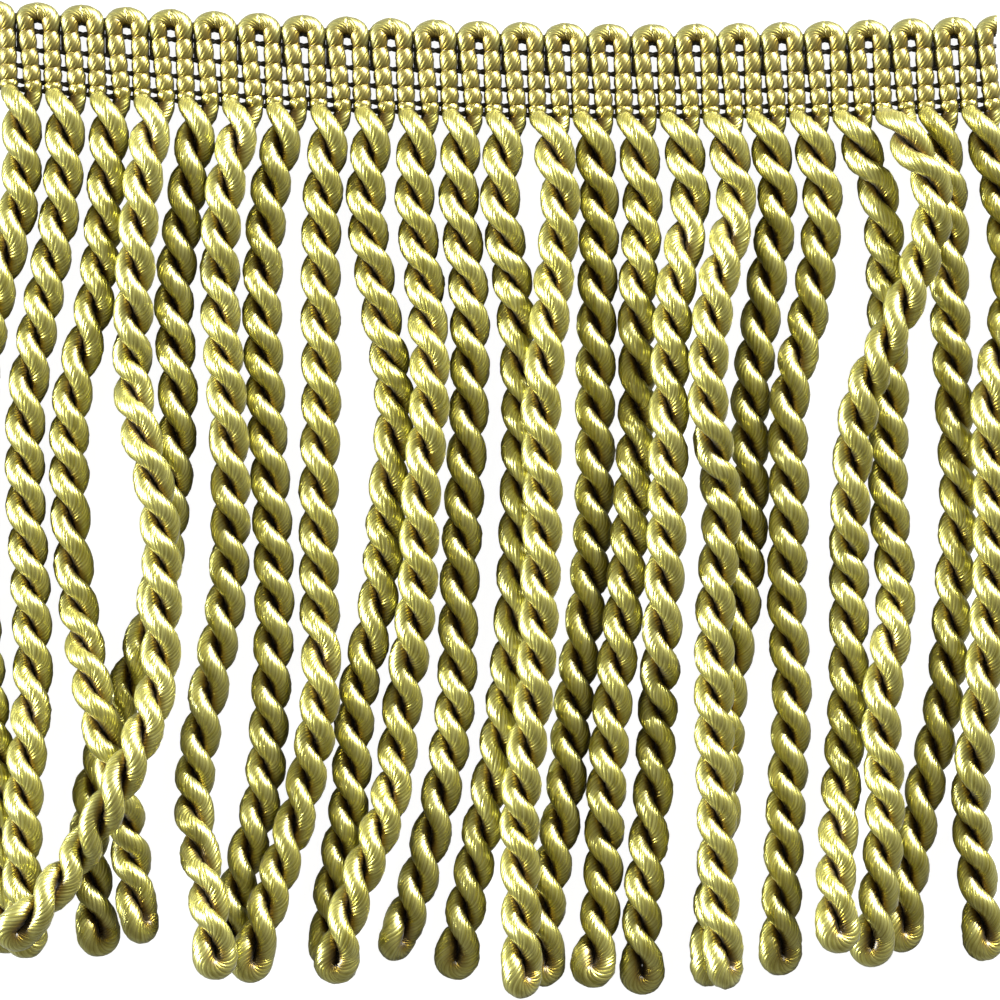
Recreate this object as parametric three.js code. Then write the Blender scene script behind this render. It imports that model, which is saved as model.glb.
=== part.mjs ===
// Cord fringe trim: a bound heading of looped cord, with twisted cord strands hanging from it.
// The trim lies flat. Millimetres, +X along the trim, +Y towards its looped edge, +Z up.
// The origin is on the heading's flat underside, which lies on the surface at z = 0.

import * as THREE from 'three';

// Heading: one cord is laid up and down in arches, each with a right and a left leg.
const ARCH_COUNT = 24;
const PITCH = 6.794;            // from one arch to the next
const FIRST_ARCH_X = -78.9;
const MIDDLE_DRIFT = 0.8;       // the arches in the middle stand this far to the right of even
const BOW_X = 24;               // where the bowed heading dips lowest
const BOW_SPAN = 100;           // the rises below are measured this far from the dip
const TOP_BOW = { level: 7.8, rise: 3.6, power: 1.5 };
const FOOT_BOW = { level: -6.5, rise: 4.3, power: 2 };
const ARCH_STEPS = 6;           // facets round a whole arch

// Where the legs stand at the foot of the heading, to the right of where they leave the arch.
const LEAN = { gap: 0.7, rightLeg: 0.4, leftLeg: 1.05 };

// One leg across, from the middle of its arch outwards.
const LEG_SECTION = [
  { reach: 1.1, form: 'shoulder' },
  { reach: 2.0, form: 'crest' },
  { reach: 2.9, form: 'shoulder' },
];

// Height above the surface: full between the rows of thread, and drawn in where thread binds it.
const CORD_HEIGHT = {
  crest: { full: 2.9, bound: 2.35 },
  shoulder: { full: 2.25, bound: 1.75 },
  gap: { full: 0.9, bound: 1.4 },
};
const ARCH_RIM_HEIGHT = 1.2;

// The heading from the arches' spring line down to its foot, as shares of its height.
const HEADING_ROWS = [
  { share: 0.18, state: 'full' },
  { share: 0.33, state: 'bound' },
  { share: 0.435, state: 'full' },
  { share: 0.545, state: 'bound' },
  { share: 0.635, state: 'full' },
  { share: 0.73, state: 'bound' },
  { share: 0.82, state: 'full' },
  { share: 0.905, state: 'bound' },
  { share: 1, state: 'bound' },
];

// Backing strip that holds the strands' roots, just below the heading.
const PIECE_GAP = 0.3;
const STRIP_DEPTH = 1.6;
const STRIP_HEIGHT = 3;

// Strand: a hairpin of cord twisted on itself, built with a four-sided section.
const STRAND_WIDTH = 5.6;
const STRAND_THICKNESS = 2.6;
const HALF_TURN = 6.4;          // length in which the two plies change sides
const RINGS_PER_HALF_TURN = 3;
const ROOT_LIFT = 0.2;          // how far a root stays above the strip's underside
const FIRST_LEVEL = -19.5;      // y of the first level in the table of strands
const LEVEL_STEP = 15.6;
const LEVELS = ['x1', 'x2', 'x3', 'x4', 'x5', 'x6', 'x7', 'x8'];

// Open loop at the end of a strand, where the cord turns back.
const END_LOOP = [
  { before: 5.2, width: 6 },
  { before: 2.4, width: 7.6 },
  { before: 0, width: 4.6 },
];

// Each strand as it lies: its x at the eight levels, its tip, how far its end loop is turned
// from lying flat, in degrees, and its layer. A higher layer lies over a lower one.
const STRAND_COLUMNS = [...LEVELS, 'tipX', 'tipY', 'turn', 'layer'];
const STRAND_ROWS = [
  [-74.7, -78.6, -81.4, -81.7, -81.0, -79.6, -77.7, -76.9, -76.8, -137.3, 30, 0],
  [-68.2, -71.0, -73.6, -73.8, -72.9, -72.7, -73.8, -73.8, -73.0, -137.6, 30, 1],
  [-61.3, -62.9, -66.6, -66.9, -65.7, -62.6, -58.5, -56.4, -54.9, -135.4, 60, 2],
  [-55.7, -56.8, -56.8, -53.0, -52.3, -53.5, -60.2, -70.5, -77.2, -134.9, 30, 3],
  [-48.8, -50.7, -50.1, -51.2, -53.5, -58.7, -63.6, -63.1, -61.8, -137.7, 30, 1],
  [-42.9, -43.5, -42.4, -41.8, -42.6, -45.6, -47.6, -44.9, -43.4, -140.6, 20, 2],
  [-36.0, -37.0, -36.5, -35.6, -35.1, -35.7, -37.1, -41.2, -41.7, -139.6, 30, 0],
  [-27.6, -27.9, -27.8, -28.2, -28.1, -27.9, -30.9, -35.9, -39.6, -141.3, 30, 1],
  [-20.9, -18.9, -16.4, -17.5, -18.9, -22.3, -23.4, -26.1, -26.5, -139.6, 30, 0],
  [-13.3, -11.5, -10.9, -12.3, -12.9, -15.1, -17.2, -23.1, -26.2, -141.5, 0, 1],
  [-6.4, -4.8, -4.8, -5.6, -6.4, -6.9, -9.4, -13.7, -17.5, -138.2, 60, 0],
  [0.0, 2.3, 3.3, 3.0, 2.3, 0.9, -1.9, -5.1, -7.5, -141.3, 0, 0],
  [9.4, 8.0, 6.4, 6.6, 6.1, 5.1, 3.1, 3.3, 3.4, -143.8, 50, 1],
  [15.4, 15.1, 14.8, 14.7, 13.6, 11.5, 10.0, 7.2, 6.7, -142.4, 30, 0],
  [22.2, 21.4, 21.5, 20.6, 19.3, 17.5, 16.4, 15.8, 13.8, -142.4, 0, 0],
  [29.6, 27.0, 26.2, 25.9, 25.3, 24.6, 23.7, 22.2, 22.1, -143.7, 0, 1],
  [36.7, 33.2, 32.1, 34.3, 33.4, 33.1, 33.5, 33.9, 35.1, -142.3, 60, 1],
  [43.2, 41.0, 39.0, 38.8, 37.6, 35.3, 34.5, 33.2, 32.1, -142.4, 60, 0],
  [50.2, 48.5, 44.9, 44.9, 44.6, 45.4, 44.5, 43.8, 43.5, -140.7, 30, 0],
  [59.1, 60.1, 60.5, 60.4, 61.5, 59.1, 59.7, 58.5, 56.8, -139.0, 0, 1],
  [67.2, 62.9, 56.0, 54.4, 54.3, 54.1, 52.8, 51.7, 52.7, -136.5, 20, 2],
  [69.7, 69.9, 70.7, 71.4, 70.5, 69.1, 65.7, 62.9, 62.4, -137.1, 30, 0],
  [78.0, 79.4, 76.0, 76.3, 76.1, 74.6, 73.2, 74.7, 75.7, -138.4, 30, 1],
];

// Where a strand passes over one of a higher layer, between two depths below the origin.
const SWAPS = [
  { over: 19, under: 20, from: 82, to: 115 },
];

// Settling: strands that cross are lifted over one another and come down again gently.
const SAMPLE_STEP = 1;
const LIFT_SLOPE = 0.5;
const EASE_LENGTH = 6;
const CLEARANCE = 0.5;          // kept between strands that lie on or beside one another
const LOOP_ROOM = 0.2;          // an end loop's middle lies this much higher than its half height
const SETTLE_PASSES = 10;

const CORD = new THREE.MeshStandardMaterial({ color: 0xb3a754, roughness: 0.42, metalness: 0 });
const STRAND_CORD = new THREE.MeshStandardMaterial({ color: 0xa89a4a, roughness: 0.4, metalness: 0 });

// Gathers points and outward faces, and turns them into one closed mesh.
class Solid {
  constructor() {
    this.points = [];
    this.faces = [];
  }

  point(x, y, z) {
    this.points.push(x, y, z);
    return this.points.length / 3 - 1;
  }

  at(index) {
    return new THREE.Vector3().fromArray(this.points, index * 3);
  }

  triangle(a, b, c) {
    this.faces.push(a, b, c);
  }

  quad(a, b, c, d) {
    this.triangle(a, b, c);
    this.triangle(a, c, d);
  }

  // Splits a bent quad along the diagonal that stands further from the given axis point.
  bulgedQuad(a, b, c, d, axis) {
    const reach = (p, q) => this.at(p).add(this.at(q)).multiplyScalar(0.5).distanceTo(axis);
    if (reach(a, c) >= reach(b, d)) {
      this.quad(a, b, c, d);
    } else {
      this.quad(b, c, d, a);
    }
  }

  mesh(name, material) {
    const geometry = new THREE.BufferGeometry();
    geometry.setAttribute('position', new THREE.Float32BufferAttribute(this.points, 3));
    geometry.setIndex(this.faces);
    geometry.computeVertexNormals();
    const mesh = new THREE.Mesh(geometry, material);
    mesh.name = name;
    return mesh;
  }
}

function mix(a, b, share) {
  return a + (b - a) * share;
}

// x of a place along the trim, counted in arches from the middle of the first one.
function trimX(place) {
  const drift = Math.sin((Math.PI * place) / (ARCH_COUNT - 1));
  return FIRST_ARCH_X + PITCH * place + MIDDLE_DRIFT * drift;
}

function bow(edge, x) {
  return edge.level + edge.rise * Math.pow(Math.abs(x - BOW_X) / BOW_SPAN, edge.power);
}

function headingY(x, share) {
  return mix(bow(TOP_BOW, x), bow(FOOT_BOW, x), share);
}

// The heading's lines from one arch's middle to the next: gap, right leg, gap, left leg.
function headingTracks() {
  const right = LEG_SECTION.map(({ reach, form }) => ({ top: reach, lean: LEAN.rightLeg, form }));
  const left = LEG_SECTION.map(({ reach, form }) => ({ top: PITCH - reach, lean: LEAN.leftLeg, form }));
  const cell = [
    { top: 0, lean: LEAN.gap, form: 'gap' },
    ...right,
    { top: PITCH / 2, lean: LEAN.gap, form: 'gap' },
    ...left.reverse(),
  ];
  const tracks = [];
  for (let arch = 0; arch < ARCH_COUNT - 1; arch += 1) {
    tracks.push(...cell.map((track) => ({ ...track, arch })));
  }
  tracks.push({ ...cell[0], arch: ARCH_COUNT - 1 });
  return tracks;
}

// Points of the legs, a list for each row from the spring line to the foot.
function legPoints(solid, tracks) {
  const spring = HEADING_ROWS[0].share;
  return HEADING_ROWS.map(({ share, state }) => {
    const down = (share - spring) / (1 - spring);
    return tracks.map(({ arch, top, lean, form }) => {
      const x = trimX(arch + (top + lean * down) / PITCH);
      return solid.point(x, headingY(x, share), CORD_HEIGHT[form][state]);
    });
  });
}

// Points of one arch: a spoke for each step from its right side (0) to its left (ARCH_STEPS).
function archSpokes(solid, arch, springRow) {
  const rings = [...LEG_SECTION, { reach: PITCH / 2, form: 'rim' }];
  const rise = HEADING_ROWS[0].share;
  const centre = arch * 8;
  const firstStep = arch === ARCH_COUNT - 1 ? ARCH_STEPS / 2 : 0;
  const lastStep = arch === 0 ? ARCH_STEPS / 2 : ARCH_STEPS;
  const spokes = [];
  for (let step = firstStep; step <= lastStep; step += 1) {
    const angle = (Math.PI * step) / ARCH_STEPS;
    spokes.push(rings.map(({ reach, form }, ring) => {
      if (step === 0) return springRow[centre + ring + 1];
      if (step === ARCH_STEPS) return springRow[centre - ring - 1];
      const x = trimX(arch + (reach * Math.cos(angle)) / PITCH);
      const share = rise - (rise * reach * Math.sin(angle)) / (PITCH / 2);
      const z = form === 'rim' ? ARCH_RIM_HEIGHT : CORD_HEIGHT[form].full;
      return solid.point(x, headingY(x, share), z);
    }));
  }
  return spokes;
}

function fillArch(solid, middle, spokes) {
  for (let step = 1; step < spokes.length; step += 1) {
    const from = spokes[step - 1];
    const to = spokes[step];
    solid.triangle(middle, from[0], to[0]);
    for (let ring = 1; ring < from.length; ring += 1) {
      solid.quad(from[ring - 1], from[ring], to[ring], to[ring - 1]);
    }
  }
}

// Closes a top surface down to a flat underside, round its outline taken anticlockwise.
function closeBelow(solid, outline) {
  const tops = outline.map((index) => solid.at(index));
  const below = tops.map((top) => solid.point(top.x, top.y, 0));
  outline.forEach((index, place) => {
    const next = (place + 1) % outline.length;
    solid.quad(below[place], below[next], outline[next], index);
  });
  const flat = tops.map((top) => new THREE.Vector2(top.x, top.y));
  for (const [a, b, c] of THREE.ShapeUtils.triangulateShape(flat, [])) {
    solid.triangle(below[a], below[c], below[b]);
  }
}

function makeHeading() {
  const solid = new Solid();
  const tracks = headingTracks();
  const rows = legPoints(solid, tracks);
  for (let row = 1; row < rows.length; row += 1) {
    for (let track = 1; track < tracks.length; track += 1) {
      const [upper, lower] = [rows[row - 1], rows[row]];
      solid.quad(lower[track - 1], lower[track], upper[track], upper[track - 1]);
    }
  }
  const arches = [];
  for (let arch = 0; arch < ARCH_COUNT; arch += 1) {
    arches.push(archSpokes(solid, arch, rows[0]));
    fillArch(solid, rows[0][arch * 8], arches[arch]);
  }
  const last = tracks.length - 1;
  const rightCut = rows.map((row) => row[last]).reverse().slice(1);
  const leftCut = rows.map((row) => row[0]).slice(0, -1);
  const crown = arches.reverse().map((spokes) => spokes.map((spoke) => spoke[spoke.length - 1]));
  const rim = crown.flatMap((points, place) => (place === 0 ? points : points.slice(1)));
  const outline = [
    ...rows[rows.length - 1],
    ...rightCut,
    ...arches[0][0].slice(0, -1),
    ...rim,
    ...arches[ARCH_COUNT - 1].at(-1).slice(0, -1).reverse(),
    ...leftCut,
  ];
  closeBelow(solid, outline);
  return solid.mesh('heading', CORD);
}

// The strip's two long edges at a place along the trim, level with the legs' feet.
function stripEdge(place) {
  const x = trimX(place + LEAN.gap / PITCH);
  const top = headingY(x, 1) - PIECE_GAP;
  return { x, top, foot: top - STRIP_DEPTH };
}

// A strand's middle line in plan, as x for each y: a smooth curve through its knots.
function strandKnots(index, row) {
  const [left, right] = [stripEdge(index), stripEdge(index + 1)];
  const root = { x: (left.x + right.x) / 2, y: (left.foot + right.foot) / 2 };
  const levels = LEVELS.map((level, step) => ({ x: row[level], y: FIRST_LEVEL - LEVEL_STEP * step }));
  const knots = [root, ...levels, { x: row.tipX, y: row.tipY }];
  const slope = (a, b) => (b.x - a.x) / (b.y - a.y);
  return knots.map((knot, place) => {
    if (place === 0) return { ...knot, slope: 0 };
    const next = knots[Math.min(place + 1, knots.length - 1)];
    return { ...knot, slope: slope(knots[place - 1], next) };
  });
}

function swayAt(knots, y) {
  const after = Math.max(1, knots.findIndex((knot) => knot.y <= y));
  const [a, b] = [knots[after - 1], knots[after]];
  const span = b.y - a.y;
  const t = (y - a.y) / span;
  const ease = t * t * (3 - 2 * t);
  const [rise, fall] = [t * (1 - t) * (1 - t), t * t * (t - 1)];
  return mix(a.x, b.x, ease) + span * (a.slope * rise + b.slope * fall);
}

// Even samples along the middle line, each with its distance from the root.
function strandSamples(knots) {
  const [top, bottom] = [knots[0].y, knots[knots.length - 1].y];
  const fine = 2000;
  const line = [];
  let length = 0;
  for (let step = 0; step <= fine; step += 1) {
    const y = mix(top, bottom, step / fine);
    const x = swayAt(knots, y);
    if (step > 0) length += Math.hypot(x - line[step - 1].x, y - line[step - 1].y);
    line.push({ x, y, length });
  }
  const count = Math.round(length / SAMPLE_STEP);
  const samples = [];
  let place = 0;
  for (let step = 0; step <= count; step += 1) {
    const along = (length * step) / count;
    while (place < fine && line[place].length < along) place += 1;
    samples.push({ x: line[place].x, y: line[place].y, along });
  }
  return samples;
}

// Half the strand's width at a distance before its tip.
function halfWidthAt(before) {
  const after = END_LOOP.findIndex((ring) => ring.before <= before);
  if (after === 0) return STRAND_WIDTH / 2;
  const [a, b] = [END_LOOP[after - 1], END_LOOP[after]];
  return mix(b.width, a.width, (before - b.before) / (a.before - b.before)) / 2;
}

function makeStrand(index, row) {
  const knots = strandKnots(index, row);
  const samples = strandSamples(knots);
  const length = samples[samples.length - 1].along;
  const twisted = length - END_LOOP[0].before;
  const turn = row.turn / 180;
  const halfTurns = Math.round(twisted / HALF_TURN - turn) + turn;
  const strand = { index, row, samples, length, twisted, halfTurns };
  samples.forEach((sample) => {
    const halfWidth = halfWidthAt(length - sample.along);
    const height = halfHeight(halfWidth, turnAt(strand, sample.along));
    sample.looped = sample.along > twisted;
    sample.reach = Math.hypot(halfWidth, STRAND_THICKNESS / 2);
    sample.depth = sample.looped ? height : sample.reach;
    sample.rest = sample.looped ? height + LOOP_ROOM : STRAND_WIDTH / 2;
    sample.z = sample.rest;
  });
  return strand;
}

// The section's turn at a distance from the root: half a turn at the root, and falling.
function turnAt(strand, along) {
  const halfTurns = (Math.min(along, strand.twisted) / strand.twisted) * strand.halfTurns;
  return Math.PI * (1 - halfTurns);
}

function halfHeight(halfWidth, angle) {
  return halfWidth * Math.abs(Math.sin(angle)) + (STRAND_THICKNESS / 2) * Math.abs(Math.cos(angle));
}

function liesOver(upper, lower, y) {
  const swapped = SWAPS.find(({ over, under, from, to }) => (
    Math.min(over, under) === Math.min(upper.index, lower.index)
    && Math.max(over, under) === Math.max(upper.index, lower.index)
    && -y >= from && -y <= to));
  if (swapped) return swapped.over === upper.index;
  const layers = upper.row.layer - lower.row.layer;
  return layers === 0 ? upper.index > lower.index : layers > 0;
}

// Every place where one strand passes over or leans on another, with the rise it needs there.
function findContacts(strands) {
  const contacts = [];
  for (const upper of strands) {
    for (const lower of strands) {
      if (upper === lower || Math.abs(upper.index - lower.index) > 4) continue;
      for (const sample of upper.samples) {
        for (const other of lower.samples) {
          const side = sample.reach + other.reach + CLEARANCE;
          const apart = Math.hypot(sample.x - other.x, sample.y - other.y);
          if (apart >= side || !liesOver(upper, lower, sample.y)) continue;
          const stacked = sample.depth + other.depth + CLEARANCE;
          const bluntness = sample.looped || other.looped ? 4 : 2;
          const rise = stacked * Math.pow(1 - (apart / side) ** bluntness, 1 / bluntness);
          contacts.push({ sample, other, rise });
        }
      }
    }
  }
  return contacts;
}

// Heights that are nowhere below the needed ones, with gentle slopes and no sharp bends.
function easeHeights(needed) {
  const reach = Math.round(EASE_LENGTH / 2 / SAMPLE_STEP);
  const around = (place) => needed.slice(Math.max(0, place - reach), place + reach + 1);
  const widened = needed.map((_, place) => Math.max(...around(place)));
  const fall = LIFT_SLOPE * SAMPLE_STEP;
  for (let place = 1; place < widened.length; place += 1) {
    widened[place] = Math.max(widened[place], widened[place - 1] - fall);
  }
  for (let place = widened.length - 2; place >= 0; place -= 1) {
    widened[place] = Math.max(widened[place], widened[place + 1] - fall);
  }
  return widened.map((_, place) => {
    const window = widened.slice(Math.max(0, place - reach), place + reach + 1);
    return window.reduce((sum, height) => sum + height, 0) / window.length;
  });
}

function settle(strands) {
  const contacts = findContacts(strands);
  for (let pass = 0; pass < SETTLE_PASSES; pass += 1) {
    strands.forEach(({ samples }) => samples.forEach((sample) => { sample.need = sample.rest; }));
    for (const { sample, other, rise } of contacts) {
      sample.need = Math.max(sample.need, other.z + rise);
    }
    for (const { samples } of strands) {
      const heights = easeHeights(samples.map((sample) => sample.need));
      samples.forEach((sample, place) => { sample.z = heights[place]; });
    }
  }
}

// Height of the middle line: it leaves the strip low and rises as the first half turn stands up.
function heightAt(strand, along) {
  const { samples, length } = strand;
  const place = (along / length) * (samples.length - 1);
  const before = Math.min(Math.floor(place), samples.length - 2);
  const settled = mix(samples[before].z, samples[before + 1].z, place - before);
  const halfTurns = (along / strand.twisted) * strand.halfTurns;
  if (halfTurns >= 0.5) return settled;
  const lift = (settled - STRAND_WIDTH / 2) * 2 * halfTurns;
  return halfHeight(STRAND_WIDTH / 2, turnAt(strand, along)) + ROOT_LIFT * (1 - 2 * halfTurns) + lift;
}

function placeAt(strand, along) {
  const { samples, length } = strand;
  const place = (along / length) * (samples.length - 1);
  const before = Math.min(Math.floor(place), samples.length - 2);
  const x = mix(samples[before].x, samples[before + 1].x, place - before);
  const y = mix(samples[before].y, samples[before + 1].y, place - before);
  return new THREE.Vector3(x, y, heightAt(strand, along));
}

// Where the rings of a strand stand: evenly in each half turn, then round the end loop.
function ringStations(strand) {
  const stations = [];
  const rings = Math.floor(strand.halfTurns * RINGS_PER_HALF_TURN);
  for (let ring = 0; ring < rings; ring += 1) {
    const along = (strand.twisted * (ring + 0.5)) / RINGS_PER_HALF_TURN / strand.halfTurns;
    stations.push({ along, width: STRAND_WIDTH });
  }
  END_LOOP.forEach(({ before, width }) => stations.push({ along: strand.length - before, width }));
  return stations;
}

function ringPoints(solid, strand, { along, width }) {
  const near = 0.6;
  const centre = placeAt(strand, along);
  const ahead = placeAt(strand, Math.min(along + near, strand.length));
  const behind = placeAt(strand, Math.max(along - near, 0));
  const forward = ahead.sub(behind).normalize();
  const side = new THREE.Vector3(-forward.y, forward.x, 0).normalize();
  const up = new THREE.Vector3().crossVectors(forward, side);
  const angle = turnAt(strand, along);
  const across = side.clone().multiplyScalar(Math.cos(angle)).addScaledVector(up, Math.sin(angle));
  const through = up.clone().multiplyScalar(Math.cos(angle)).addScaledVector(side, -Math.sin(angle));
  const corners = [[1, -1], [1, 1], [-1, 1], [-1, -1]];
  const points = corners.map(([w, t]) => {
    const corner = centre.clone().addScaledVector(across, (w * width) / 2);
    corner.addScaledVector(through, (t * STRAND_THICKNESS) / 2);
    return solid.point(corner.x, corner.y, corner.z);
  });
  return { points, centre };
}

// The strip's corners at one end of a strand's cell.
function stripPost(solid, place) {
  const { x, top, foot } = stripEdge(place);
  return {
    topLow: solid.point(x, top, 0),
    topHigh: solid.point(x, top, STRIP_HEIGHT),
    footLow: solid.point(x, foot, 0),
    footHigh: solid.point(x, foot, STRIP_HEIGHT),
  };
}

// The opening in the strip's lower side that a strand grows out of.
function rootRing(solid, strand, left, right) {
  const [from, to] = [solid.at(left.footLow), solid.at(right.footLow)];
  const middle = heightAt(strand, 0);
  const centreX = (from.x + to.x) / 2;
  const corners = [[-1, 1], [-1, -1], [1, -1], [1, 1]];
  return corners.map(([side, level]) => {
    const x = centreX + (side * STRAND_WIDTH) / 2;
    const y = mix(from.y, to.y, (x - from.x) / (to.x - from.x));
    return solid.point(x, y, middle + (level * STRAND_THICKNESS) / 2);
  });
}

function joinRings(solid, from, to, axis) {
  for (let side = 0; side < 4; side += 1) {
    const next = (side + 1) % 4;
    solid.bulgedQuad(from[side], from[next], to[next], to[side], axis);
  }
}

// One strand's stretch of the strip, with the strand growing out of it.
function addStrand(solid, strand, left, right) {
  const root = rootRing(solid, strand, left, right);
  const frame = [left.footHigh, left.footLow, right.footLow, right.footHigh];
  for (let side = 0; side < 4; side += 1) {
    const next = (side + 1) % 4;
    solid.quad(frame[side], frame[next], root[next], root[side]);
  }
  solid.quad(left.footHigh, right.footHigh, right.topHigh, left.topHigh);
  solid.quad(left.topLow, right.topLow, right.footLow, left.footLow);
  solid.quad(left.topHigh, right.topHigh, right.topLow, left.topLow);
  let previous = root;
  for (const station of ringStations(strand)) {
    const { points, centre } = ringPoints(solid, strand, station);
    joinRings(solid, previous, points, centre);
    previous = points;
  }
  solid.quad(...previous);
}

function makeFringe() {
  const rows = STRAND_ROWS.map((values) => (
    Object.fromEntries(STRAND_COLUMNS.map((column, place) => [column, values[place]]))));
  const strands = rows.map((row, index) => makeStrand(index, row));
  settle(strands);
  const solid = new Solid();
  const posts = [];
  for (let place = 0; place <= strands.length; place += 1) posts.push(stripPost(solid, place));
  const [first, last] = [posts[0], posts[posts.length - 1]];
  solid.quad(first.topLow, first.footLow, first.footHigh, first.topHigh);
  solid.quad(last.footLow, last.topLow, last.topHigh, last.footHigh);
  strands.forEach((strand, index) => addStrand(solid, strand, posts[index], posts[index + 1]));
  return solid.mesh('fringe', STRAND_CORD);
}

const trim = new THREE.Group();
trim.add(makeHeading(), makeFringe());

export default trim;
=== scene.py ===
"""Cord fringe trim lying flat: strands of wrapped cord on their bound heading, and a plain stage.

The heading and the way each strand lies are the same as in the part's solids. They are worked out
here in millimetres and turned into metres where a mesh is made.
"""

import math
import random

import bpy
import numpy as np
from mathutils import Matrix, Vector


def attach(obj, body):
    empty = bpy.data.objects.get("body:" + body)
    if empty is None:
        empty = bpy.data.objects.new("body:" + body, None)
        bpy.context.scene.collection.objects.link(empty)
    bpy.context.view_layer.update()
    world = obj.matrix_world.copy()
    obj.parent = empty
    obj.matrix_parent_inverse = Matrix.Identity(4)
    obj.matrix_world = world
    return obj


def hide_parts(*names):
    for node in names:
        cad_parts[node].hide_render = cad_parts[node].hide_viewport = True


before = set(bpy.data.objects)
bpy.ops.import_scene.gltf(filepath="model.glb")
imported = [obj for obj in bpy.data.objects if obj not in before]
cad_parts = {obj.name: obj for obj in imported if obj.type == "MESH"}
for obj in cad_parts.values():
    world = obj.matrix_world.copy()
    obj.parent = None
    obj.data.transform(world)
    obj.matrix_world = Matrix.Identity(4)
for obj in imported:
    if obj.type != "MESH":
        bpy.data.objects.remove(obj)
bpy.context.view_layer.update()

bl_info = {
    "name": "Cord Fringe Trim",
    "version": (1, 0, 0),
    "blender": (4, 5, 0),
    "location": "3D View > Sidebar > Fringe",
    "description": "Makes a cord fringe trim: twisted strands on a heading bound with thread",
    "category": "Add Mesh",
}

MM = 0.001
BODY = "root"

# Heading, as in the solids: arches of one cord, each with a right and a left leg
ARCH_COUNT = 24
PITCH = 6.794
FIRST_ARCH_X = -78.9
MIDDLE_DRIFT = 0.8
BOW_X = 24.0
BOW_SPAN = 100.0
TOP_BOW = {"level": 7.8, "rise": 3.6, "power": 1.5}
FOOT_BOW = {"level": -6.5, "rise": 4.3, "power": 2.0}
LEG_REACH = 2.0
RIGHT_LEG_LEAN = 0.4
LEFT_LEG_LEAN = 1.42
SPRING_SHARE = 0.18
THREAD_ROWS = [0.33, 0.545, 0.73, 0.905, 1.0]

# Strands: the x of each at eight even levels, its tip, the turn of its end loop from lying flat,
# in degrees, and its layer
FIRST_LEVEL = -19.5
LEVEL_STEP = 15.6
LEVELS = ["x1", "x2", "x3", "x4", "x5", "x6", "x7", "x8"]
STRAND_COLUMNS = [*LEVELS, "tip_x", "tip_y", "turn", "layer"]
STRAND_ROWS = [
    [-74.7, -78.6, -81.4, -81.7, -81.0, -79.6, -77.7, -76.9, -76.8, -137.3, 30, 0],
    [-68.2, -71.0, -73.6, -73.8, -72.9, -72.7, -73.8, -73.8, -73.0, -137.6, 30, 1],
    [-61.3, -62.9, -66.6, -66.9, -65.7, -62.6, -58.5, -56.4, -54.9, -135.4, 60, 2],
    [-55.7, -56.8, -56.8, -53.0, -52.3, -53.5, -60.2, -70.5, -77.2, -134.9, 30, 3],
    [-48.8, -50.7, -50.1, -51.2, -53.5, -58.7, -63.6, -63.1, -61.8, -137.7, 30, 1],
    [-42.9, -43.5, -42.4, -41.8, -42.6, -45.6, -47.6, -44.9, -43.4, -140.6, 20, 2],
    [-36.0, -37.0, -36.5, -35.6, -35.1, -35.7, -37.1, -41.2, -41.7, -139.6, 30, 0],
    [-27.6, -27.9, -27.8, -28.2, -28.1, -27.9, -30.9, -35.9, -39.6, -141.3, 30, 1],
    [-20.9, -18.9, -16.4, -17.5, -18.9, -22.3, -23.4, -26.1, -26.5, -139.6, 30, 0],
    [-13.3, -11.5, -10.9, -12.3, -12.9, -15.1, -17.2, -23.1, -26.2, -141.5, 0, 1],
    [-6.4, -4.8, -4.8, -5.6, -6.4, -6.9, -9.4, -13.7, -17.5, -138.2, 60, 0],
    [0.0, 2.3, 3.3, 3.0, 2.3, 0.9, -1.9, -5.1, -7.5, -141.3, 0, 0],
    [9.4, 8.0, 6.4, 6.6, 6.1, 5.1, 3.1, 3.3, 3.4, -143.8, 50, 1],
    [15.4, 15.1, 14.8, 14.7, 13.6, 11.5, 10.0, 7.2, 6.7, -142.4, 30, 0],
    [22.2, 21.4, 21.5, 20.6, 19.3, 17.5, 16.4, 15.8, 13.8, -142.4, 0, 0],
    [29.6, 27.0, 26.2, 25.9, 25.3, 24.6, 23.7, 22.2, 22.1, -143.7, 0, 1],
    [36.7, 33.2, 32.1, 34.3, 33.4, 33.1, 33.5, 33.9, 35.1, -142.3, 60, 1],
    [43.2, 41.0, 39.0, 38.8, 37.6, 35.3, 34.5, 33.2, 32.1, -142.4, 60, 0],
    [50.2, 48.5, 44.9, 44.9, 44.6, 45.4, 44.5, 43.8, 43.5, -140.7, 30, 0],
    [59.1, 60.1, 60.5, 60.4, 61.5, 59.1, 59.7, 58.5, 56.8, -139.0, 0, 1],
    [67.2, 62.9, 56.0, 54.4, 54.3, 54.1, 52.8, 51.7, 52.7, -136.5, 20, 2],
    [69.7, 69.9, 70.7, 71.4, 70.5, 69.1, 65.7, 62.9, 62.4, -137.1, 30, 0],
    [78.0, 79.4, 76.0, 76.3, 76.1, 74.6, 73.2, 74.7, 75.7, -138.4, 30, 1],
]

# Where a strand passes over one of a higher layer: its index, the other's, and the two depths
# between which it does
SWAPS = [(19, 20, 82.0, 115.0)]

# Sway and twist of a strand, whose plies are pressed together and open into the end loop
SWAY_SAMPLES = 4000
SAMPLE_STEP = 1.0
PHASES = (0, 6.28)
WAVE_COUNT = 3
WAVE_LENGTHS = (22, 45)
WAVE_FADE = 12.0
TURN_WAVE = 0.35
CROSSING_SPEED = 0.16
PRESSED = 0.97
LOOP_PRESSED = 0.9
END_LOOP_LENGTH = 5.2
LOOP_OPENING_LENGTH = 4.0
SWELL_LEAD = 3.0
SWELL_LENGTH = 7.0

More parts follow.
